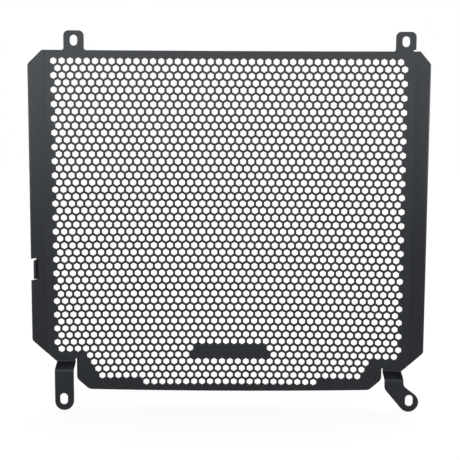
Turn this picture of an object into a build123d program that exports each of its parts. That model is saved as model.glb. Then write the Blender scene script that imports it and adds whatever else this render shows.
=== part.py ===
from build123d import *
import os
from math import acos, asin, atan2, cos, degrees, hypot, pi, radians, sin, sqrt, tan

# Motorcycle radiator guard: one perforated sheet, bowed, folded along both sides and bolted by four slots.
# Millimetres. X runs across, Z is up and the radiator side faces -Y; the origin is the middle of the guard.

# Sheet, bow and side folds. The front face is the one on the radiator side; bend_radius is the inside
# radius of every fold. The bow is a row of narrow flats on the bow radius that meet at the points of the
# holes, so every hole edge is straight.
thickness = 2.0
bow_radius = 1660.0
bend_radius = 2.0
fold_x = 165.5
fold_angle = 42.5
flange_width = 16.6
flange_corner_radius = 3.0

# Upper and lower ends of the flanges: where the top slant starts, measured along the flange from the fold,
# how far it falls, and the rise of the slanted lower edges per millimetre of width.
left_slant_start = 0.8
left_slant_drop = 12.8
right_slant_start = 4.7
right_slant_drop = 11.5
lower_slope = 0.9325

# Plate edges. The bottom edge is an arc that is lowest in the middle.
top_z = 154.4
bottom_z = -159.0
bottom_rise = 3.1
corner_cut_width = 11.3
corner_cut_height = 10.2
corner_radius = 6.0

# Upper tabs, flat with the plate; heights are measured from the top edge
upper_left_x = -138.9
upper_right_x = 157.5
upper_tab_width = 18.0
upper_tab_height = 17.3
upper_tab_radius = 4.6
upper_root_radius = 2.0
upper_slot_rise = 8.6
upper_slot_width = 6.5
upper_slot_length = 9.5
fold_relief_height = 1.3

# Lower tabs, stepped forwards by two bends; the right one bends outwards to its lug. Each starts at its
# outer edge, and a slit on its inner side parts it from the corner of the plate.
left_root = -157.8
right_root = 160.3
lower_tab_width = 17.0
lower_tab_end = -171.8
left_bend_z = -129.5
right_bend_z = -137.8
step_depth = 14.0
step_drop = 4.0
lug_x = 164.9
lug_radius = 9.2
lug_left_z = -151.1
lug_right_z = -148.0
lug_bend_radius = 6.0
lower_left_slot_x = -149.8
lower_right_slot_x = 165.6
lower_slot_z = -161.3
lower_slot_width = 7.0
lower_slot_length = 10.6
tab_slit = 1.1
left_slit_top = -127.6
right_slit_top = -136.0

# Lip on the left flange, bent on until it stands square to the plate
lip_z = -41.7
lip_height = 17.0
lip_root = 11.3
lip_length = 6.3
lip_slit = 1.3
lip_relief_radius = 1.0

# Honeycomb: holes across flats and the web between them, the margins left round the field, the feet of
# the field above the lower tabs, and the bare panel, which is as wide as a few holes of one row
hole_size = 13.0
hole_web = 4.5
side_margin = 5.5
top_margin = 6.0
bottom_margin = 5.0
foot_top = -121.0
foot_half_width = 130.4
panel_x = 1.85
panel_z = -121.2
panel_holes = 4

# Sizes that follow from the ones above. The narrow flats of the bow stop at end_flat_x, inside the plate's
# corners; one wider flat on each side carries the tabs and runs to the fold.
left_corner_x = left_root + lower_tab_width + tab_slit
right_corner_x = right_root - lower_tab_width - tab_slit
pitch = hole_size + hole_web
row_pitch = pitch * sin(pi / 3)
hole_tip = hole_size / sqrt(3)
fold_drop = bow_radius - sqrt(bow_radius**2 - fold_x**2)
end_flat_x = (int(2 * -left_corner_x / pitch - 0.5) + 0.5) * pitch / 2
end_lean = degrees(asin((fold_x + end_flat_x) / (2 * bow_radius)))
fold_lean = fold_angle + end_lean
across = cos(radians(fold_lean))
forward = sin(radians(fold_lean))
lug_drop = (lug_x + lug_radius - fold_x) * tan(radians(end_lean)) + step_depth / cos(radians(end_lean))
sheet_y = (fold_drop + lug_drop - thickness) / 2
fold_y = sheet_y - fold_drop
step_angle = degrees(atan2(step_depth, step_drop))
step_setback = bend_radius * tan(radians(step_angle / 2))
joint_x = fold_x - 1.5 * bend_radius
over = flange_width + 4 * thickness
reach = 2 * flange_width


def bow_point(x):
    return (x, sheet_y - bow_radius + sqrt(bow_radius**2 - x**2))


def flange_x(along):
    return fold_x + along * across


def slant_z(along, start, drop):
    return top_z - drop * (along - start) / (flange_width - start)


def lower_edge_z(root_x, bend_z, out):
    return bend_z + lower_slope * (out - abs(root_x))


def bottom_edge_z(x):
    return bottom_z + bottom_rise * (2 * x / (right_corner_x - left_corner_x)) ** 2


def tangent_point(start, centre, radius, turn):
    across_gap = centre[0] - start[0]
    up_gap = centre[1] - start[1]
    heading = atan2(-up_gap, -across_gap) + turn * acos(radius / hypot(across_gap, up_gap))
    return (centre[0] + radius * cos(heading), centre[1] + radius * sin(heading))


def corner_vertices(vertices, *points):
    return [vertices.sort_by_distance(point)[0] for point in points]


flat_count = round(4 * end_flat_x / pitch) + 1
bow_points = [bow_point(-end_flat_x + flat * pitch / 2) for flat in range(flat_count)]
left_cut_z = left_bend_z + step_setback
right_cut_z = right_bend_z + step_setback
left_shoulder = (left_root - step_setback / lower_slope, left_cut_z)
right_shoulder = (right_root + step_setback / lower_slope, right_cut_z)
left_foot = (left_corner_x + corner_cut_width, bottom_edge_z(left_corner_x + corner_cut_width))
right_foot = (right_corner_x - corner_cut_width, bottom_edge_z(right_corner_x - corner_cut_width))
left_heel = (left_corner_x, left_foot[1] + corner_cut_height)
right_heel = (right_corner_x, right_foot[1] + corner_cut_height)

# Lower tabs: the step is drawn from the side, square to the end flat of the bow, then cut to outline
with BuildPart() as lower_tabs:
    for side, bend_z in ((-1, left_bend_z), (1, right_bend_z)):
        flat_back = (side * sin(radians(end_lean)), cos(radians(end_lean)), 0)
        flat_along = (cos(radians(end_lean)), -side * sin(radians(end_lean)), 0)
        with BuildSketch(Plane((side * fold_x, fold_y, 0), x_dir=flat_back, z_dir=flat_along)):
            with BuildLine():
                FilletPolyline(
                    (0, bend_z + 3 * thickness),
                    (0, bend_z),
                    (-step_depth, bend_z - step_drop),
                    (-step_depth, lower_tab_end - thickness),
                    radius=(bend_radius, bend_radius + thickness),
                )
                offset(amount=thickness, side=Side.LEFT)
            make_face()
        extrude(amount=reach, both=True)
    with BuildSketch(Plane.XZ) as lower_outline:
        with BuildLine():
            left_tip = (left_root + lower_tab_width, lower_tab_end + lower_tab_width / 2)
            Polyline(
                (left_root, left_tip[1]),
                (left_root, left_bend_z),
                left_shoulder,
                (left_root + lower_tab_width, left_cut_z),
                left_tip,
            )
            ThreePointArc(left_tip, (left_root + lower_tab_width / 2, lower_tab_end), (left_root, left_tip[1]))
        make_face()
        with BuildLine():
            lug_left = (right_root - lower_tab_width, lug_left_z)
            lug_right = (right_root, lug_right_z)
            lug_centre = (lug_x, lower_tab_end + lug_radius)
            lug_under = tangent_point(lug_left, lug_centre, lug_radius, 1)
            lug_over = tangent_point(lug_right, lug_centre, lug_radius, -1)
            Polyline(
                lug_under,
                lug_left,
                (lug_left[0], right_cut_z),
                right_shoulder,
                (right_root, right_bend_z),
                lug_right,
                lug_over,
            )
            ThreePointArc(lug_over, (lug_x + lug_radius, lug_centre[1]), lug_under)
        make_face()
        fillet(corner_vertices(lower_outline.vertices(), lug_left, lug_right), lug_bend_radius)
        with Locations((lower_left_slot_x, lower_slot_z), (lower_right_slot_x, lower_slot_z)):
            SlotOverall(lower_slot_length, lower_slot_width, rotation=90, mode=Mode.SUBTRACT)
    extrude(amount=reach, both=True, mode=Mode.INTERSECT)

# Honeycomb centres: rows half a pitch apart sideways, kept where a whole hole fits the field
field_top = top_z - top_margin - hole_tip
columns = int((2 * (fold_x - side_margin) - hole_size) / pitch - 0.5) + 1
rows = int((field_top - hole_tip - bottom_z - bottom_margin) / row_pitch) + 1
hole_centres = []
for row in range(rows):
    z = field_top - row * row_pitch
    for column in range(columns):
        x = (column - (columns - 1) / 2 + (0.25 if row % 2 else -0.25)) * pitch
        above_edge = z - hole_tip > bottom_edge_z(x) + bottom_margin
        foot_edge = foot_half_width - (foot_top - z) / sqrt(3)
        in_foot = z - hole_tip / 2 > foot_top or abs(x) + hole_size / 2 < foot_edge
        on_panel = abs(z - panel_z) < row_pitch / 2 and abs(x - panel_x) < panel_holes * pitch / 2
        if above_edge and in_foot and not on_panel:
            hole_centres.append((x, z))

# Side flanges with their folds, cut to the front outline; the lip stands in a notch of the left one
with BuildPart() as flanges:
    with BuildSketch(Plane.XY):
        with BuildLine() as folded_face:
            left_fold = (-fold_x, fold_y)
            right_fold = (fold_x, fold_y)
            flange_y = fold_y - flange_width * forward
            Polyline(
                (-flange_x(flange_width), flange_y),
                left_fold,
                *bow_points,
                right_fold,
                (flange_x(flange_width), flange_y),
            )
            fillet(corner_vertices(folded_face.vertices(), left_fold, right_fold), bend_radius)
            offset(amount=thickness, side=Side.LEFT, kind=Kind.INTERSECTION)
        make_face()
    extrude(amount=top_z - bottom_z, both=True)
    with BuildSketch(Plane.XZ):
        with BuildLine():
            Polyline(
                (joint_x, top_z),
                (flange_x(right_slant_start), top_z),
                (flange_x(over), slant_z(over, right_slant_start, right_slant_drop)),
                (flange_x(over), lower_edge_z(right_root, right_bend_z, fold_x + over)),
                (fold_x, lower_edge_z(right_root, right_bend_z, fold_x)),
                (joint_x, lower_edge_z(right_root, right_bend_z, joint_x)),
                close=True,
            )
        make_face()
        with BuildLine():
            Polyline(
                (-joint_x, top_z),
                (-flange_x(left_slant_start), top_z),
                (-flange_x(over), slant_z(over, left_slant_start, left_slant_drop)),
                (-flange_x(over), lower_edge_z(left_root, left_bend_z, fold_x + over)),
                (-fold_x, lower_edge_z(left_root, left_bend_z, fold_x)),
                (-joint_x, lower_edge_z(left_root, left_bend_z, joint_x)),
                close=True,
            )
        make_face()
    extrude(amount=reach, both=True, mode=Mode.INTERSECT)

    flange_corners = []
    short_edges = flanges.edges().filter_by(lambda edge: edge.length < 2 * thickness)
    for side, corner_z in (
        (1, top_z - right_slant_drop),
        (1, lower_edge_z(right_root, right_bend_z, fold_x + flange_width)),
        (-1, top_z - left_slant_drop),
        (-1, lower_edge_z(left_root, left_bend_z, fold_x + flange_width)),
    ):
        corner = (side * flange_x(flange_width), flange_y, corner_z)
        flange_corners.append(short_edges.sort_by_distance(corner)[0])
    fillet(flange_corners, flange_corner_radius)

    flange_out = (-across, -forward, 0)
    flange_back = (-forward, across, 0)
    with BuildSketch(Plane((-fold_x, fold_y, 0), x_dir=flange_out, z_dir=flange_back)):
        notch_root = lip_root - bend_radius * tan(radians((90 - fold_lean) / 2))
        notch_height = lip_height + 2 * lip_slit
        with Locations((notch_root, lip_z)):
            Rectangle(flange_width, notch_height, align=(Align.MIN, Align.CENTER))
        relief_z = notch_height / 2 - lip_relief_radius
        with Locations((notch_root, lip_z - relief_z), (notch_root, lip_z + relief_z)):
            Circle(lip_relief_radius)
    extrude(amount=2 * thickness, both=True, mode=Mode.SUBTRACT)
    with BuildSketch(Plane.XY.offset(lip_z - lip_height / 2)):
        with BuildLine():
            lip_corner = (-flange_x(lip_root), fold_y - lip_root * forward)
            FilletPolyline(
                (-flange_x(lip_root / 2), fold_y - lip_root / 2 * forward),
                lip_corner,
                (lip_corner[0], lip_corner[1] - lip_length),
                radius=bend_radius,
            )
            offset(amount=thickness, side=Side.RIGHT)
        make_face()
    extrude(amount=lip_height)

# The guard: the bowed plate with its upper tabs is cut to the front outline, the flanges and the lower
# tabs carry on from it, and the honeycomb is cut through, points up
with BuildPart() as radiator_guard:
    with BuildSketch(Plane.XY):
        with BuildLine():
            end_x = flange_x(flange_width)
            end_y = fold_y - (end_x - fold_x) * tan(radians(end_lean))
            Polyline((-end_x, end_y), *bow_points, (end_x, end_y))
            offset(amount=thickness, side=Side.LEFT, kind=Kind.INTERSECTION)
        make_face()
    extrude(amount=reach + top_z - bottom_z, both=True)
    with BuildSketch(Plane.XZ) as front_outline:
        with BuildLine():
            bottom = ThreePointArc(left_foot, (0, bottom_z), right_foot)
            Polyline(
                bottom @ 1,
                right_heel,
                (right_corner_x, right_cut_z),
                right_shoulder,
                (joint_x, lower_edge_z(right_root, right_bend_z, joint_x)),
                (joint_x, top_z),
                (-joint_x, top_z),
                (-joint_x, lower_edge_z(left_root, left_bend_z, joint_x)),
                left_shoulder,
                (left_corner_x, left_cut_z),
                left_heel,
                bottom @ 0,
            )
        make_face()
        plate_corners = (left_foot, left_heel, right_foot, right_heel)
        fillet(corner_vertices(front_outline.vertices(), *plate_corners), corner_radius)
        left_slit = (left_corner_x - tab_slit / 2, left_slit_top)
        right_slit = (right_corner_x + tab_slit / 2, right_slit_top)
        with Locations(left_slit, right_slit):
            Rectangle(tab_slit, 2 * thickness, align=(Align.CENTER, Align.MAX), mode=Mode.SUBTRACT)
            Circle(tab_slit / 2, mode=Mode.SUBTRACT)
        with Locations((upper_left_x, top_z), (upper_right_x, top_z)):
            Rectangle(upper_tab_width, upper_tab_height, align=(Align.CENTER, Align.MIN))
        fillet(front_outline.vertices().group_by(Axis.Y)[-1], upper_tab_radius)
        tab_roots = corner_vertices(
            front_outline.vertices(),
            (upper_left_x - upper_tab_width / 2, top_z),
            (upper_left_x + upper_tab_width / 2, top_z),
            (upper_right_x - upper_tab_width / 2, top_z),
        )
        fillet(tab_roots, upper_root_radius)
        with Locations((joint_x, top_z)):
            Rectangle(upper_tab_width, fold_relief_height, align=(Align.MIN, Align.MIN), mode=Mode.SUBTRACT)
        upper_slot_z = top_z + upper_slot_rise
        with Locations((upper_left_x, upper_slot_z), (upper_right_x, upper_slot_z)):
            SlotOverall(upper_slot_length, upper_slot_width, rotation=90, mode=Mode.SUBTRACT)
    extrude(amount=reach, both=True, mode=Mode.INTERSECT)

    add(lower_tabs.solids())
    add(flanges.solids())

    with BuildSketch(Plane.XZ.offset(-reach)):
        with Locations(*hole_centres):
            RegularPolygon(hole_size / 2, 6, major_radius=False, rotation=30)
    extrude(amount=2 * reach, mode=Mode.SUBTRACT)

radiator_guard.part.label = "radiator_guard"

os.makedirs("parts", exist_ok=True)
export_step(radiator_guard.part, "parts/radiator_guard.step")
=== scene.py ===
# %% [markdown]
# # A motorcycle radiator guard
#
# The real guard is one sheet of aluminium. A laser cuts the outline and a honeycomb of holes, a press folds
# the sides and steps the lower tabs, and a black powder coat goes over everything. The lesson follows the
# same order: a flat blank with its holes, then the folds, then the coat, the light and the camera.
#
# The CAD model is the frame. It already has the outline, the folds and the slots at their real size, with
# larger holes. The sheet made here takes its place and carries the fine honeycomb.

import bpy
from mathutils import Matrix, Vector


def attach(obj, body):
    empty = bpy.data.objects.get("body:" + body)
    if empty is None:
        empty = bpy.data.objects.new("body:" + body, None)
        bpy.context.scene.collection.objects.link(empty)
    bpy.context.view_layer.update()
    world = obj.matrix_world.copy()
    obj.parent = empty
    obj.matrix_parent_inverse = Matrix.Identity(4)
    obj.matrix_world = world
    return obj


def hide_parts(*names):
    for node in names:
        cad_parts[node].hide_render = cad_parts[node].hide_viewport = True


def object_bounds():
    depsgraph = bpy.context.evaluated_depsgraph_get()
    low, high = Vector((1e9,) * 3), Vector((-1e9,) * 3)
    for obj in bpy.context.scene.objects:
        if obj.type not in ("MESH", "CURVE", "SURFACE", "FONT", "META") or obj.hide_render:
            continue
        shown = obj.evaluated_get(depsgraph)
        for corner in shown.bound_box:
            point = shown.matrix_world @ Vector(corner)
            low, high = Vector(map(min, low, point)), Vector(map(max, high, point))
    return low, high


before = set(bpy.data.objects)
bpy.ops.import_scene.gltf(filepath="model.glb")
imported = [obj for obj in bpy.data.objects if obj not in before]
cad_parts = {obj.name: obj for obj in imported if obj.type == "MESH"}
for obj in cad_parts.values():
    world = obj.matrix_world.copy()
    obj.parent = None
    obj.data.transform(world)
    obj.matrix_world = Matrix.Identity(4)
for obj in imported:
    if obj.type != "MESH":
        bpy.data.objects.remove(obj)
cad_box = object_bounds()


def in_millimetres(box):
    return [[round(value * 1000, 1) for value in corner] for corner in box]


print("CAD box, mm:", in_millimetres(cad_box))

# %% [markdown]
# ## Sizes
#
# Everything is worked out in millimetres and made metres at the very end, as a maker would read a drawing.
# X runs across, Z is up, and the front face of the sheet is the radiator side, which faces the camera at -Y.
#
# The plate is bowed about an upright axis, like a slice of a very wide pipe, and a flange down each side is
# folded towards the radiator. A fold uses up flat sheet: the middle of the thickness keeps its length, so the
# sheet in a fold is as long as the arc through that middle. A setback is how far from the sharp corner the
# fold begins.

# %% Bow and side folds
from math import acos, asin, atan2, ceil, cos, degrees, hypot, pi, radians, sin, sqrt, tan

thickness = 2.0
half = thickness / 2
bow_radius = 1660.0
fold_x = 165.5
fold_radius = 2.0
flange_lean = radians(47.7)
flange_width = 16.6


def along_bow(x):
    return bow_radius * asin(x / bow_radius)


fold_turn = flange_lean - asin(fold_x / bow_radius)
fold_setback = fold_radius * tan(fold_turn / 2)
fold_start = along_bow(fold_x) - fold_setback
fold_length = (fold_radius + half) * fold_turn
print("the sides fold by", round(degrees(fold_turn), 1), "degrees")

# %% [markdown]
# Each lower tab is stepped towards the radiator by two bends, one against the other, so that its end lies
# parallel to the plate again. A flat strip is left between the bends. They are crisper than the side folds,
# so they have a radius of their own.

# %% Steps of the lower tabs
step_depth = 14.0
step_drop = 4.0
step_radius = 0.6
left_bend_z = -129.5
right_bend_z = -137.8

step_turn = atan2(step_depth, step_drop)
step_arc = (step_radius + half) * step_turn
step_setback = step_radius * tan(step_turn / 2)
step_outer_setback = (step_radius + thickness) * tan(step_turn / 2)
step_strip = hypot(step_depth, step_drop) - step_setback - step_outer_setback
step_path = 2 * step_arc + step_strip
step_fall = step_setback + step_drop + step_outer_setback
left_cut_z = left_bend_z + step_setback
right_cut_z = right_bend_z + step_setback
print("each step takes", round(step_path, 2), "mm of flat sheet and falls", round(step_fall, 2), "mm")

# %% [markdown]
# ## The flat blank
#
# A folded part is easiest to draw flat. Two more helpers say where a place on the finished guard lies on the
# flat sheet: out along a flange past its fold, or down a tab past its step.

# %% From the finished guard to the flat sheet
def along_flange(out):
    return fold_start + fold_length + out - fold_setback


def down_tab(z):
    return z - (step_path - step_fall)


flange_edge = along_flange(flange_width)
print("the flat sheet is", round(2 * flange_edge, 1), "mm wide")

# %% [markdown]
# The outline is a list of corners: how far along the flat sheet, how high, and with what radius. It starts at
# the bottom edge and goes round against the clock. The plate's own share is the bottom edge, which dips a
# little in the middle, its cut corners, and the narrow slits that part the lower tabs from the plate.

# %% Corners of the plate
bottom_z = -159.0
bottom_rise = 3.1
left_corner_x = -139.7
right_corner_x = 142.2
corner_cut_width = 11.3
corner_cut_height = 10.2
plate_radius = 6.0
tab_slit = 1.1
slit_radius = 0.54
left_slit_end = -127.05
right_slit_end = -135.45


def bottom_edge_z(x):
    return bottom_z + bottom_rise * (2 * x / (right_corner_x - left_corner_x)) ** 2


left_foot_x = left_corner_x + corner_cut_width
right_foot_x = right_corner_x - corner_cut_width
left_foot_z = bottom_edge_z(left_foot_x)
right_foot_z = bottom_edge_z(right_foot_x)

right_plate_edge = [
    (along_bow(left_foot_x), left_foot_z, plate_radius),
    (along_bow(right_foot_x), right_foot_z, plate_radius),
    (along_bow(right_corner_x), right_foot_z + corner_cut_height, plate_radius),
    (along_bow(right_corner_x), right_slit_end, slit_radius),
    (along_bow(right_corner_x + tab_slit), right_slit_end, slit_radius),
]
left_plate_edge = [
    (along_bow(left_corner_x - tab_slit), left_slit_end, slit_radius),
    (along_bow(left_corner_x), left_slit_end, slit_radius),
    (along_bow(left_corner_x), left_foot_z + corner_cut_height, plate_radius),
]
print("plate:", len(right_plate_edge + left_plate_edge), "corners")

# %% [markdown]
# The left lower tab is a plain strip with a round end. Its two end corners share one short edge. If both took
# all of their half, two points would fall together, so such corners get a little less than the full radius.
#
# The right lower tab bends outwards to a round lug, which is a circle between two tangents. A third tangent
# at its far side gives two corners that, rounded with the lug's own radius, meet as that circle.

# %% Corners of the left lower tab
lower_tab_width = 17.0
lower_tab_end = -171.8
slope = 0.9325
nearly_full = 0.998

left_root = left_corner_x - tab_slit - lower_tab_width
shoulder_out = step_setback / slope
left_tab_radius = nearly_full * lower_tab_width / 2

left_tab_corners = [
    (along_bow(left_root - shoulder_out), left_cut_z, 0),
    (along_bow(left_root), left_cut_z - step_setback, 0),
    (along_bow(left_root), down_tab(lower_tab_end), left_tab_radius),
    (along_bow(left_root + lower_tab_width), down_tab(lower_tab_end), left_tab_radius),
]
print("left lower tab:", len(left_tab_corners), "corners")

# %% Corners of the right lower tab
from mathutils import Matrix, Vector

right_root = right_corner_x + tab_slit + lower_tab_width
lug_centre = Vector((164.9, -162.6))
lug_radius = 9.05
lug_bend_radius = 6.0
lug_under_root = Vector((right_root - lower_tab_width, -151.1))
lug_over_root = Vector((right_root, -148.0))


def tangent_heading(root, turn):
    gap = root - lug_centre
    return atan2(gap.y, gap.x) + turn * acos(lug_radius / gap.length)


lug_under = tangent_heading(lug_under_root, 1)
lug_over = tangent_heading(lug_over_root, -1) + 2 * pi
lug_corner_turn = (lug_over - lug_under) / 2


def lug_corner(heading):
    corner = lug_centre + Vector((cos(heading), sin(heading))) * lug_radius / cos(lug_corner_turn / 2)
    return (along_bow(corner.x), down_tab(corner.y), nearly_full * lug_radius)


right_tab_corners = [
    (along_bow(lug_under_root.x), down_tab(lug_under_root.y), lug_bend_radius),
    lug_corner(lug_under + lug_corner_turn / 2),
    lug_corner(lug_over - lug_corner_turn / 2),
    (along_bow(right_root), down_tab(lug_over_root.y), lug_bend_radius),
    (along_bow(right_root), right_cut_z - step_setback, 0),
    (along_bow(right_root + shoulder_out), right_cut_z, 0),
]
print("right lower tab:", len(right_tab_corners), "corners, its lug", 2 * lug_radius, "mm across")

# %% [markdown]
# The upper tabs are flat and stand on the top edge. The right one overhangs the side fold, so a short relief
# slit below it lets the flange fold without pulling at the tab.

# %% Corners of the upper tabs
top_z = 154.4
upper_left_x = -138.9
upper_right_x = 157.5
upper_tab_half = 9.0
upper_tab_top = 171.7
upper_tab_radius = 4.6
upper_root_radius = 2.0
relief_x = 164.2
relief_height = 1.3
relief_radius = 0.5

upper_corners = [
    (along_bow(relief_x), top_z, relief_radius),
    (along_bow(relief_x), top_z + relief_height, relief_radius),
    (along_bow(upper_right_x + upper_tab_half), top_z + relief_height, 0),
    (along_bow(upper_right_x + upper_tab_half), upper_tab_top, upper_tab_radius),
    (along_bow(upper_right_x - upper_tab_half), upper_tab_top, upper_tab_radius),
    (along_bow(upper_right_x - upper_tab_half), top_z, upper_root_radius),
    (along_bow(upper_left_x + upper_tab_half), top_z, upper_root_radius),
    (along_bow(upper_left_x + upper_tab_half), upper_tab_top, upper_tab_radius),
    (along_bow(upper_left_x - upper_tab_half), upper_tab_top, upper_tab_radius),
    (along_bow(upper_left_x - upper_tab_half), top_z, upper_root_radius),
]
print("upper tabs:", len(upper_corners), "corners")

# %% [markdown]
# The flanges end in slants, so that no sharp corner sticks out. Low on the left flange a small lip is freed by
# two slits and bent on, round a wider bend than the folds, until it stands square to the plate.

# %% Corners of the right flange
flange_radius = 4.0
right_slant_start = 4.7
right_slant_drop = 11.5
right_slant_radius = 1.0


def flange_foot_z(root_x, bend_z):
    return bend_z + slope * (fold_x + flange_width - abs(root_x))


right_flange_corners = [
    (flange_edge, flange_foot_z(right_root, right_bend_z), flange_radius),
    (flange_edge, top_z - right_slant_drop, flange_radius),
    (along_flange(right_slant_start), top_z, right_slant_radius),
]
print("right flange:", len(right_flange_corners), "corners")

# %% Bend of the lip
lip_root = 11.3
lip_length = 6.3
lip_bend_radius = 5.0

lip_turn = pi / 2 - flange_lean
lip_setback = lip_bend_radius * tan(lip_turn / 2)
lip_start = along_flange(lip_root - lip_setback)
lip_bend_length = (lip_bend_radius + half) * lip_turn
lip_end = lip_start + lip_bend_length + lip_length - lip_setback
print("the lip bends on by", round(degrees(lip_turn), 1), "degrees")

# %% Corners of the left flange and its lip
left_slant_start = 0.8
left_slant_drop = 12.8
left_slant_radius = 0.5
lip_z = -41.7
lip_half = 8.5
lip_radius = 0.8
lip_slit = 1.3
lip_slit_root = 10.5
lip_slit_radius = 0.6

lip_slit_end = along_flange(lip_slit_root)
lip_gap_half = lip_half + lip_slit

left_flange_corners = [
    (-along_flange(left_slant_start), top_z, left_slant_radius),
    (-flange_edge, top_z - left_slant_drop, flange_radius),
    (-flange_edge, lip_z + lip_gap_half, 0),
    (-lip_slit_end, lip_z + lip_gap_half, lip_slit_radius),
    (-lip_slit_end, lip_z + lip_half, lip_slit_radius),
    (-lip_end, lip_z + lip_half, lip_radius),
    (-lip_end, lip_z - lip_half, lip_radius),
    (-lip_slit_end, lip_z - lip_half, lip_slit_radius),
    (-lip_slit_end, lip_z - lip_gap_half, lip_slit_radius),
    (-flange_edge, lip_z - lip_gap_half, 0),
    (-flange_edge, flange_foot_z(left_root, left_bend_z), flange_radius),
]
print("left flange and lip:", len(left_flange_corners), "corners")

# %% [markdown]
# The blank is one face through all these corners. Bevel in vertex mode rounds it, one corner at a time,
# because each has its own radius. The face lies a little below the front of the sheet, which leaves room for
# a softened rim.

# %% Cut the blank
import bmesh

corner_segments = 6
edge_rim = 0.25


def rounded_face(blank, corners, height):
    verts = [blank.verts.new((along, z, height)) for along, z, radius in corners]
    blank.faces.new(verts)
    for index, (along, z, radius) in enumerate(corners):
        here = Vector((along, z))
        arriving = here - Vector(corners[index - 1][:2])
        leaving = Vector(corners[(index + 1) % len(corners)][:2]) - here
        offset = radius * tan(arriving.angle(leaving) / 2)
        if offset > 0:
            bmesh.ops.bevel(
                blank,
                geom=[verts[index]],
                offset=offset,
                offset_type="OFFSET",
                affect="VERTICES",
                segments=corner_segments,
                profile=0.5,
                material=-1,
                clamp_overlap=False,
            )


outline = (
    right_plate_edge
    + right_tab_corners
    + right_flange_corners
    + upper_corners
    + left_flange_corners
    + left_tab_corners
    + left_plate_edge
)
blank = bmesh.new()
rounded_face(blank, outline, half - edge_rim)
print("outline:", len(outline), "corners,", len(blank.verts), "points")

# %% [markdown]
# The long level edges have to follow the bow later, and an edge can't bend without points along it, so
# Subdivide gives them some. The points of the bottom edge then move from the straight line between its
# corners down to its shallow curve.

# %% Divide the level edges
edge_step = 8.0
level_tolerance = 0.2
bottom_band = 0.5

level_edges = [
    edge for edge in blank.edges
    if edge.calc_length() > edge_step and abs(edge.verts[0].co.y - edge.verts[1].co.y) < level_tolerance
]
for edge in level_edges:
    bmesh.ops.subdivide_edges(blank, edges=[edge], cuts=ceil(edge.calc_length() / edge_step))
for vert in blank.verts:
    if vert.co.y < left_foot_z + bottom_band and left_foot_x < vert.co.x < right_foot_x:
        share = (vert.co.x - left_foot_x) / (right_foot_x - left_foot_x)
        straight_z = left_foot_z + share * (right_foot_z - left_foot_z)
        vert.co.y += bottom_edge_z(vert.co.x) - straight_z
blank.normal_update()
print("level edges:", len(level_edges), "divided, now", len(blank.verts), "points")

# %% [markdown]
# A laser-cut edge is never razor sharp, and a powder coat rounds it further. A narrow rim round the outline
# and round each slot gives the light something to catch. Inset makes it: the loop at the cut edge lies a
# little lower than the face of the sheet. What is left inside the rim is taken out. The slots stay open, and
# the sheet is closed again once the cells of the honeycomb are laid.

# %% Soften the outline
def rim_and_open(blank, face, rise):
    bmesh.ops.inset_region(
        blank, faces=[face], thickness=edge_rim, depth=rise, use_boundary=True, use_even_offset=True
    )
    bmesh.ops.delete(blank, geom=[face], context="FACES_ONLY")


rim_and_open(blank, blank.faces[:][0], edge_rim)
print("rim of the outline:", len(blank.faces), "faces")

# %% Cut the slots
upper_slot = (6.5, 9.5)
lower_slot = (7.0, 10.6)
upper_slot_z = 163.0
lower_slot_z = -161.3
lower_left_slot_x = -149.8
lower_right_slot_x = 165.6

slots = [
    (upper_left_x, upper_slot_z, upper_slot),
    (upper_right_x, upper_slot_z, upper_slot),
    (lower_left_slot_x, down_tab(lower_slot_z), lower_slot),
    (lower_right_slot_x, down_tab(lower_slot_z), lower_slot),
]
for slot_x, slot_z, (width, length) in slots:
    out = width / 2 + edge_rim
    up = length / 2 + edge_rim
    middle = along_bow(slot_x)
    turns = [(-1, -1), (1, -1), (1, 1), (-1, 1)]
    slot_corners = [(middle + x * out, slot_z + z * up, nearly_full * out) for x, z in turns]
    before = set(blank.faces)
    rounded_face(blank, slot_corners, half)
    blank.normal_update()
    slot_face = [face for face in blank.faces if face not in before][0]
    rim_and_open(blank, slot_face, -edge_rim)
print("slots:", len(slots))

# %% [markdown]
# ## The honeycomb
#
# The holes stand on their points, 43 to a row, and every second row is moved by half a pitch. Each hole sits
# in a hexagon cell, and neighbouring cells share their walls, so the cells are laid like tiles: one small
# circle of six sides for each, merged along the edges where they touch. The steps of a row count half
# pitches from the left.
#
# The lower rows are shorter, to stay clear of the tabs and the bottom edge.

# %% Lay the cells
hole_size = 5.4
hole_web = 2.0
pitch = hole_size + hole_web
row_pitch = pitch * sqrt(3) / 2
cell_radius = pitch / sqrt(3)
first_row_z = 144.8
full_rows = 42
last_step = 84
middle_step = 42.5
short_rows = [(8, 84), (9, 77), (10, 76), (11, 75), (22, 64)]
cell_merge = 0.02
cell_tolerance = 0.5

row_ends = [(row % 2, last_step + row % 2) for row in range(full_rows)] + short_rows
for row, (first, last) in enumerate(row_ends):
    for step in range(first, last + 1, 2):
        place = Vector(((step - middle_step) * pitch / 2, first_row_z - row * row_pitch, half))
        bmesh.ops.create_circle(
            blank,
            cap_ends=True,
            segments=6,
            radius=cell_radius,
            matrix=Matrix.Translation(place),
        )
bmesh.ops.remove_doubles(blank, verts=blank.verts[:], dist=cell_merge)
cells = [
    face for face in blank.faces
    if len(face.verts) == 6 and abs(face.calc_area() - pitch * row_pitch) < cell_tolerance
]
print("cells:", len(cells), "in", len(row_ends), "rows")

# %% [markdown]
# The plain margin between the cells and the outline has an odd shape, with a zigzag on one side. Triangle
# Fill closes it in one go: it takes every open edge on the face of the sheet and treats the cells and the
# slots as islands.

# %% Close the margin
def open_edges(blank):
    return [edge for edge in blank.edges if len(edge.link_faces) == 1]


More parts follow.
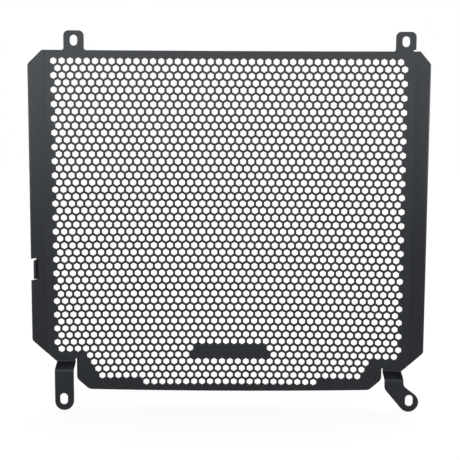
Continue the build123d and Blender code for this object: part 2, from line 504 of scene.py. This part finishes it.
margin_edges = [
    edge for edge in open_edges(blank) if all(vert.co.z > half - edge_rim / 2 for vert in edge.verts)
]
margin = bmesh.ops.triangle_fill(blank, edges=margin_edges, use_beauty=True, normal=(0, 0, 1))
margin_faces = [item for item in margin["geom"] if isinstance(item, bmesh.types.BMFace)]
print("margin:", len(margin_faces), "triangles")

# %% [markdown]
# A fold needs vertices to turn on. Bisect cuts a row of lines across the sheet wherever it will bend, and
# only there, so the flat stretches keep few faces. One more line on each side of a bend keeps the smooth
# shading of the bend from spreading over the flat sheet next to it.

# %% Parts that bend by themselves
hair = 0.001
left_slit_x = along_bow(left_corner_x - tab_slit / 2)
right_slit_x = along_bow(right_corner_x + tab_slit / 2)


def on_left_tab(place):
    return place.x < left_slit_x and place.y < left_cut_z - hair


def on_right_tab(place):
    return place.x > right_slit_x and place.y < right_cut_z - hair


def on_lip(place):
    return abs(place.y - lip_z) < lip_half + lip_slit / 2 and -place.x > lip_start + hair


for name, rule in (("left tab", on_left_tab), ("right tab", on_right_tab), ("lip", on_lip)):
    print(name + ":", sum(rule(vert.co) for vert in blank.verts), "points")

# %% Cut the bend lines
bend_cuts = 6
cut_snap = 0.002
fold_reach = 0.5


def cut_lines(blank, rule, start, length, normal):
    for cut in range(-1, bend_cuts + 2):
        faces = [
            face for face in blank.faces
            if len(face.verts) != 6 and any(rule(vert.co) for vert in face.verts)
        ]
        parts = dict.fromkeys(part for face in faces for part in (face, *face.edges, *face.verts))
        point = Vector(normal) * (start + cut * length / bend_cuts)
        bmesh.ops.bisect_plane(blank, geom=list(parts), dist=cut_snap, plane_co=point, plane_no=normal)


for side in (-1, 1):
    cut_lines(
        blank,
        lambda place: side * place.x > fold_start - fold_reach,
        side * fold_start,
        side * fold_length,
        (1, 0, 0),
    )
for rule, cut_z in ((on_left_tab, left_cut_z), (on_right_tab, right_cut_z)):
    for bend_z in (cut_z, cut_z - step_arc - step_strip):
        cut_lines(blank, rule, bend_z, -step_arc, (0, 1, 0))
cut_lines(blank, on_lip, -lip_start, -lip_bend_length, (1, 0, 0))
print("faces with bend lines:", len(blank.faces))

# %% [markdown]
# Each cell now becomes a hole: one Inset leaves the web, a second, sunk a little, leaves the softened rim, and
# what remains in the middle is taken out. Nineteen cells in two rows low in the middle are passed over: they
# are the bare panel.

# %% Open the holes
panel_along = 1.85
panel_half_width = 34.0
panel_z = -121.2
panel_half_height = row_pitch * 0.7


def on_panel(place):
    return abs(place.x - panel_along) < panel_half_width and abs(place.y - panel_z) < panel_half_height


holes = [face for face in cells if not on_panel(face.calc_center_median())]
bmesh.ops.inset_individual(blank, faces=holes, thickness=hole_web / 2 - edge_rim, use_even_offset=True)
bmesh.ops.inset_individual(blank, faces=holes, thickness=edge_rim, depth=-edge_rim, use_even_offset=True)
bmesh.ops.delete(blank, geom=holes, context="FACES_ONLY")
print("holes:", len(holes), "open,", len(cells) - len(holes), "cells left closed")

# %% [markdown]
# So far there is only the front face. Every open edge is drawn down to the middle of the sheet, and Mirror
# makes the other half. The two meet at the middle and close the sheet, so its thickness is exact everywhere.
# Solidify would give the thickness too, but the rims of the back face would then need a second pass.

# %% Give the sheet its thickness
seam_merge = 0.0005

walls = bmesh.ops.extrude_edge_only(blank, edges=open_edges(blank))
for item in walls["geom"]:
    if isinstance(item, bmesh.types.BMVert):
        item.co.z = 0
bmesh.ops.mirror(
    blank,
    geom=blank.verts[:] + blank.edges[:] + blank.faces[:],
    matrix=Matrix.Identity(4),
    merge_dist=seam_merge,
    axis="Z",
)
bmesh.ops.recalc_face_normals(blank, faces=blank.faces[:])
if blank.calc_volume(signed=True) < 0:
    bmesh.ops.reverse_faces(blank, faces=blank.faces[:])
print("flat sheet:", round(blank.calc_volume()), "cubic mm,", len(open_edges(blank)), "open edges")

# %% [markdown]
# ## Folding
#
# Bending a sheet is a rule for points: how far along the sheet a point lies says how far round the bend it
# has gone, and how deep it lies in the sheet is added square to the surface. The same rule serves the side
# folds and the lip. Moving vertices by such a rule keeps the honeycomb exact, where a bending modifier would
# need one object for each fold.

# %% Rules for the bow, the folds and the lip
sheet_y = 10.55


def bend(point, heading, gone, depth, radius, turn):
    """The place, in plan, of a point that lies `gone` past the start of a bend at `point`."""
    length = (radius + half) * turn
    share = min(gone / length, 1)
    back = Vector((sin(heading), cos(heading)))
    centre = point - radius * back
    heading += share * turn
    back = Vector((sin(heading), cos(heading)))
    onward = Vector((cos(heading), -sin(heading)))
    return centre + (radius + depth) * back + max(gone - length, 0) * onward


def on_bow(along, depth):
    heading = along / bow_radius
    radius = bow_radius + depth
    return Vector((radius * sin(heading), sheet_y - bow_radius + radius * cos(heading)))


def on_flange(along, depth):
    start = on_bow(fold_start, 0)
    return bend(start, fold_start / bow_radius, along - fold_start, depth, fold_radius, fold_turn)


def on_bent_lip(along, depth):
    start = on_flange(lip_start, 0)
    return bend(start, flange_lean, along - lip_start, depth, lip_bend_radius, lip_turn)


print("edge of a flange, x and y:", [round(value, 1) for value in on_flange(flange_edge, 0)])
print("end of the lip, x and y:", [round(value, 1) for value in on_bent_lip(lip_end, 0)])

# %% [markdown]
# A step is two bends in a row, the second turned the other way, with the straight strip between them. The
# tabs lie in the flat ends of the CAD plate, which lean by the slope between two places on the bow.

# %% Rule for the steps
flat_inner_x = 135.6
end_lean = asin((fold_x + flat_inner_x) / (2 * bow_radius))
fold_y = on_bow(along_bow(fold_x), 0).y


def step_profile(gone, depth):
    """How far a point of a step has come forwards and how far it has fallen, at `gone` along the flat tab."""
    first = min(gone, step_arc) / step_arc * step_turn
    second = min(max(gone - step_arc - step_strip, 0), step_arc) / step_arc * step_turn
    strip = min(max(gone - step_arc, 0), step_strip)
    straight = max(gone - 2 * step_arc - step_strip, 0)
    inner = step_radius + depth
    outer = step_radius + thickness - depth
    forwards = step_radius - inner * cos(first) + strip * sin(step_turn)
    fall = inner * sin(first) + strip * cos(step_turn) + straight
    if gone > step_arc + step_strip:
        forwards += outer * (cos(step_turn - second) - cos(step_turn))
        fall += outer * (sin(step_turn) - sin(step_turn - second))
    return forwards, fall


def on_tab(along, gone, depth, cut_z):
    x = bow_radius * sin(along / bow_radius)
    forwards, fall = step_profile(gone, depth)
    flat_y = fold_y + (fold_x - abs(x)) * tan(end_lean)
    return Vector((x, flat_y - forwards / cos(end_lean), cut_z - fall))


forwards, fall = step_profile(step_path, 0)
print("a step comes", round(forwards, 2), "mm forwards and falls", round(fall, 2), "mm")

# %% [markdown]
# One rule for the whole sheet now asks where a point lies and hands it to the rule for that place. The left
# half is folded as the right half is, and mirrored. What lies above the relief slit stays on the bow.

# %% Fold the sheet
METRES = 0.001


def folded(flat):
    along, z, depth = flat.x, flat.y, half - flat.z
    if on_left_tab(flat):
        return on_tab(along, left_cut_z - z, depth, left_cut_z)
    if on_right_tab(flat):
        return on_tab(along, right_cut_z - z, depth, right_cut_z)
    side = -1 if along < 0 else 1
    if abs(along) < fold_start or z > top_z + relief_height / 2:
        place = on_bow(abs(along), depth)
    elif on_lip(flat):
        place = on_bent_lip(-along, depth)
    else:
        place = on_flange(abs(along), depth)
    return Vector((side * place.x, place.y, z))


for vert in blank.verts:
    vert.co = folded(vert.co) * METRES
blank.normal_update()
print("folded sheet:", round(blank.calc_volume() / METRES ** 3), "cubic mm")

# %% [markdown]
# Flat faces and bends are shaded smooth, and edges where the sheet really turns a corner stay crisp. The mesh
# keeps its place in its own points, so its object stands at the origin, unturned and unscaled.

# %% Finish the mesh
import bpy

crisp_angle = radians(28)

for face in blank.faces:
    face.smooth = True
for edge in blank.edges:
    edge.smooth = edge.calc_face_angle(0) < crisp_angle

guard_mesh = bpy.data.meshes.new("guard_sheet")
blank.to_mesh(guard_mesh)
blank.free()
guard_sheet = bpy.data.objects.new("guard_sheet", guard_mesh)
bpy.context.scene.collection.objects.link(guard_sheet)
guard_mesh.calc_loop_triangles()
print("guard sheet:", len(guard_mesh.loop_triangles), "triangles")

# %% [markdown]
# ## The powder coat
#
# Powder coat is a thick baked paint. It is satin, not glossy, and from close by it has a fine pebbled skin.
# Two noises make it: one at the scale of the pebbles for the bump, and a slow one that lets colour and
# roughness drift a little, as a sprayed layer does. An image would need an unwrapped sheet, while noise on
# Object coordinates has no seams and runs on round every edge.
#
# A small class wraps a node socket, so that shader maths can be written as ordinary sums.

# %% Sockets that can be added and multiplied
class Socket:
    def __init__(self, tree, output):
        self.tree = tree
        self.output = output

    def maths(self, operation, first, second):
        sockets = {0: first, 1: second}
        return add_node(self.tree, "ShaderNodeMath", {"operation": operation}, sockets)["Value"]

    def __add__(self, other):
        return self.maths("ADD", self, other)

    def __sub__(self, other):
        return self.maths("SUBTRACT", self, other)

    def __rsub__(self, other):
        return self.maths("SUBTRACT", other, self)

    def __mul__(self, other):
        return self.maths("MULTIPLY", self, other)

    __radd__ = __add__
    __rmul__ = __mul__


print("sockets can be added, subtracted and multiplied")

# %% [markdown]
# Every other node comes from one function, which takes the node's type, its settings and the values or links
# of its sockets. Some nodes have several sockets of one name and enable one of them, so the helper picks that.

# %% Nodes
def pick(sockets, name):
    if isinstance(name, int):
        return sockets[name]
    return next(socket for socket in sockets if socket.enabled and socket.name == name)


class Outputs:
    def __init__(self, tree, node):
        self.tree = tree
        self.node = node

    def __getitem__(self, name):
        return Socket(self.tree, pick(self.node.outputs, name))


def add_node(tree, kind, settings, sockets):
    node = tree.nodes.new(kind)
    for name, value in settings.items():
        setattr(node, name, value)
    for name, value in sockets.items():
        target = pick(node.inputs, name)
        if isinstance(value, Socket):
            tree.links.new(value.output, target)
        else:
            target.default_value = value
    return Outputs(tree, node)


def empty_tree(owner):
    owner.use_nodes = True
    owner.node_tree.nodes.clear()
    return owner.node_tree


powder_coat = bpy.data.materials.new("black_powder_coat")
coat_tree = empty_tree(powder_coat)
coat_place = add_node(coat_tree, "ShaderNodeTexCoord", {}, {})["Object"]
print("powder coat starts from", len(coat_tree.nodes), "node")

# %% Pebbles and drift
def coat_noise(scale, detail, roughness):
    sockets = {"Vector": coat_place, "Scale": scale, "Detail": detail, "Roughness": roughness}
    return add_node(coat_tree, "ShaderNodeTexNoise", {}, sockets)["Fac"]


pebble_strength = 0.25
pebble_height = 0.00006

pebbles = coat_noise(scale=1100.0, detail=2.0, roughness=0.5)
drift = coat_noise(scale=14.0, detail=3.0, roughness=0.55)
pebble_bump = add_node(
    coat_tree,
    "ShaderNodeBump",
    {},
    {"Strength": pebble_strength, "Distance": pebble_height, "Height": pebbles},
)["Normal"]
print("pebbles:", round(pebble_height * 1000, 2), "mm high")

# %% Black powder coat
deep_black = (0.008, 0.0095, 0.012, 1)
pale_black = (0.012, 0.0135, 0.017, 1)
pebble_share = 0.3
coat_roughness = 0.22
drift_roughness = 0.08
pebble_roughness = 0.06
coat_ior = 1.55
coat_tint = (0.88, 0.94, 1, 1)

coat_colour = add_node(
    coat_tree,
    "ShaderNodeMix",
    {"data_type": "RGBA"},
    {"Factor": drift + (pebbles - 0.5) * pebble_share, "A": deep_black, "B": pale_black},
)["Result"]
coat_shader = add_node(
    coat_tree,
    "ShaderNodeBsdfPrincipled",
    {},
    {
        "Base Color": coat_colour,
        "Roughness": coat_roughness + drift * drift_roughness + pebbles * pebble_roughness,
        "IOR": coat_ior,
        "Specular Tint": coat_tint,
        "Normal": pebble_bump,
    },
)["BSDF"]
add_node(coat_tree, "ShaderNodeOutputMaterial", {}, {"Surface": coat_shader})
guard_mesh.materials.append(powder_coat)
print("powder coat:", len(coat_tree.nodes), "nodes")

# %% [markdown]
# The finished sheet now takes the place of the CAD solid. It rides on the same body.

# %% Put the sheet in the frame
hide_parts("radiator_guard")
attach(guard_sheet, "root")
print("the sheet stands for the CAD solid on body root")

# %% [markdown]
# ## Floor and light
#
# The guard stands on a plain floor that runs on into white, with only a breath of shadow under it. A white
# floor would throw too much light up on the black coat, so this one is a matt grey. For the camera it also
# glows, just enough to bring lit floor up to white, and the shadow still shows. A weaker glow for glossy rays
# lets the coat mirror a pale floor.

# %% Floor
white = (1, 1, 1, 1)
floor_grey = (0.32, 0.32, 0.32, 1)
floor_size = 6.0
floor_lift = 0.8
floor_gleam = 0.285

floor_build = bmesh.new()
bmesh.ops.create_grid(floor_build, x_segments=1, y_segments=1, size=floor_size / 2)
bmesh.ops.translate(floor_build, verts=floor_build.verts[:], vec=(0, 0, cad_box[0][2]))
floor_mesh = bpy.data.meshes.new("floor")
floor_build.to_mesh(floor_mesh)
floor_build.free()
floor = bpy.data.objects.new("floor", floor_mesh)
bpy.context.scene.collection.objects.link(floor)
print("floor at", round(cad_box[0][2], 4), "m")

# %% Floor paint
floor_paint = bpy.data.materials.new("pale_floor")
floor_tree = empty_tree(floor_paint)
path = add_node(floor_tree, "ShaderNodeLightPath", {}, {})
lift = path["Is Camera Ray"] * floor_lift + path["Is Glossy Ray"] * floor_gleam
matt = add_node(floor_tree, "ShaderNodeBsdfDiffuse", {}, {"Color": floor_grey})["BSDF"]
glow = add_node(floor_tree, "ShaderNodeEmission", {}, {"Color": white, "Strength": lift})["Emission"]
both = add_node(floor_tree, "ShaderNodeAddShader", {}, {0: matt, 1: glow})["Shader"]
add_node(floor_tree, "ShaderNodeOutputMaterial", {}, {"Surface": both})
floor_mesh.materials.append(floor_paint)
print("floor paint:", len(floor_tree.nodes), "nodes")

# %% [markdown]
# A satin black sheet shows little colour of its own: what it shows is the room, softly mirrored. A studio with
# white walls is bright low down, most at the sides, and dimmer overhead. The top of the guard mirrors those
# walls and its foot mirrors the floor, so the black pales upwards. The world gives each direction its level.
# Large lamps could do that too, but they would light the floor unevenly. The camera itself sees plain white.

# %% Surroundings
overhead_level = 0.6
front_level = 1.0
left_level = 2.0
right_level = 2.7

world = bpy.data.worlds.new("studio")
bpy.context.scene.world = world
studio_tree = empty_tree(world)
heading = add_node(studio_tree, "ShaderNodeTexCoord", {}, {})["Generated"]
part = add_node(studio_tree, "ShaderNodeSeparateXYZ", {}, {"Vector": heading})
across = part["X"]
slant = 1 - part["Z"]
side_level = (left_level + right_level) / 2 + across * ((right_level - left_level) / 2)
wall_level = front_level + across * across * (side_level - front_level)
studio = overhead_level + slant * slant * slant * (wall_level - overhead_level)
seen = add_node(studio_tree, "ShaderNodeLightPath", {}, {})["Is Camera Ray"]
level = studio + seen * (1 - studio)
backdrop = add_node(
    studio_tree, "ShaderNodeBackground", {}, {"Color": white, "Strength": level}
)["Background"]
add_node(studio_tree, "ShaderNodeOutputWorld", {}, {"Surface": backdrop})
print("surroundings:", len(studio_tree.nodes), "nodes")

# %% [markdown]
# Two narrow softboxes behind the camera add the soft sheen at the ends of the bowed plate, which lean towards
# them. A large, weak one high behind the guard draws its shadow forwards over the floor.

# %% Softboxes
side_target = (0, 0, 0.05)
side_size = (0.12, 0.5)
back_target = (0, 0, -0.1)
back_size = (0.7, 0.7)


def softbox(name, place, target, size, power):
    light = bpy.data.lights.new(name, "AREA")
    light.shape = "RECTANGLE"
    light.size, light.size_y = size
    light.energy = power
    box = bpy.data.objects.new(name, light)
    box.location = place
    box.rotation_euler = (Vector(target) - Vector(place)).to_track_quat("-Z", "Y").to_euler()
    bpy.context.scene.collection.objects.link(box)


softbox("left_softbox", (-0.2, -1.25, 0.25), side_target, side_size, power=0.8)
softbox("right_softbox", (0.2, -1.25, 0.25), side_target, side_size, power=0.45)
softbox("back_softbox", (0.3, 0.6, 1.5), back_target, back_size, power=2.5)

# %% [markdown]
# ## Camera
#
# The camera was found from the hole pattern: with a known pitch, the places of the holes in the photograph
# fix where the lens stood and how long it was.

# %% Camera
camera_place = (-0.0012, -0.96697, 0.11607)
camera_turn = (82.7913, -0.2713, -0.1150)
camera_lens = 84.154
sensor_width = 36.0

camera_data = bpy.data.cameras.new("camera")
camera_data.sensor_width = sensor_width
camera_data.lens = camera_lens
camera = bpy.data.objects.new("camera", camera_data)
camera.location = camera_place
camera.rotation_euler = [radians(angle) for angle in camera_turn]
bpy.context.scene.collection.objects.link(camera)
bpy.context.scene.camera = camera
bpy.context.scene.view_settings.view_transform = "Standard"
print("camera", round(camera.location.length, 3), "m from the middle of the guard")
